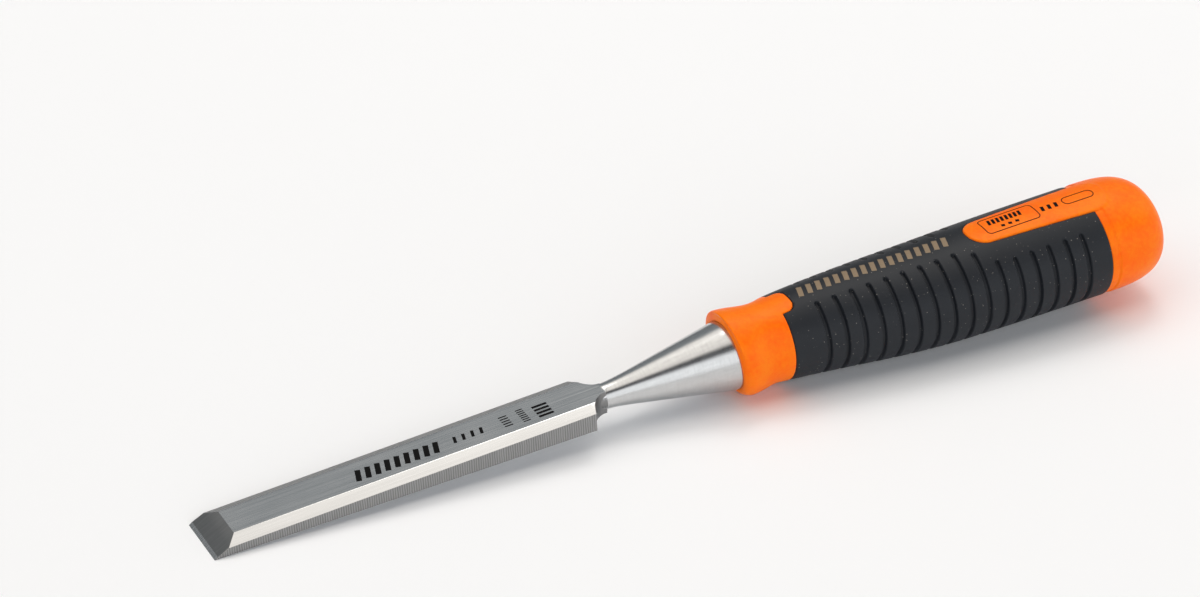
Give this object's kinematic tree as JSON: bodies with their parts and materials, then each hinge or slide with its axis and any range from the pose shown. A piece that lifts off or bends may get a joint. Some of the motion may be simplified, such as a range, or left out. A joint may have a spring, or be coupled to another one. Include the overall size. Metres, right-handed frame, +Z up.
{
  "type": "bench chisel",
  "caption": "Bevel-edged 16 mm bench chisel with a conical bolster and a two-component handle with finger grooves and a domed striking cap.",
  "frame": {"origin": "the surface that the chisel lies on, under the middle of its length and width", "axes": "+X from the cutting edge towards the striking cap, +Z up, with the chisel lying flat back down on its cutting edge and the underside of its handle"},
  "size_m": [0.2664, 0.0316, 0.0306],
  "materials": {
    "blade_steel": "ground and fine brushed",
    "core_plastic": "satin moulded, orange",
    "grip_elastomer": "matte moulded, black"
  },
  "bodies": {
    "root": {"blade": "blade_steel", "handle_core": "core_plastic", "grip_sleeve": "grip_elastomer"}
  },
  "joints": []
}
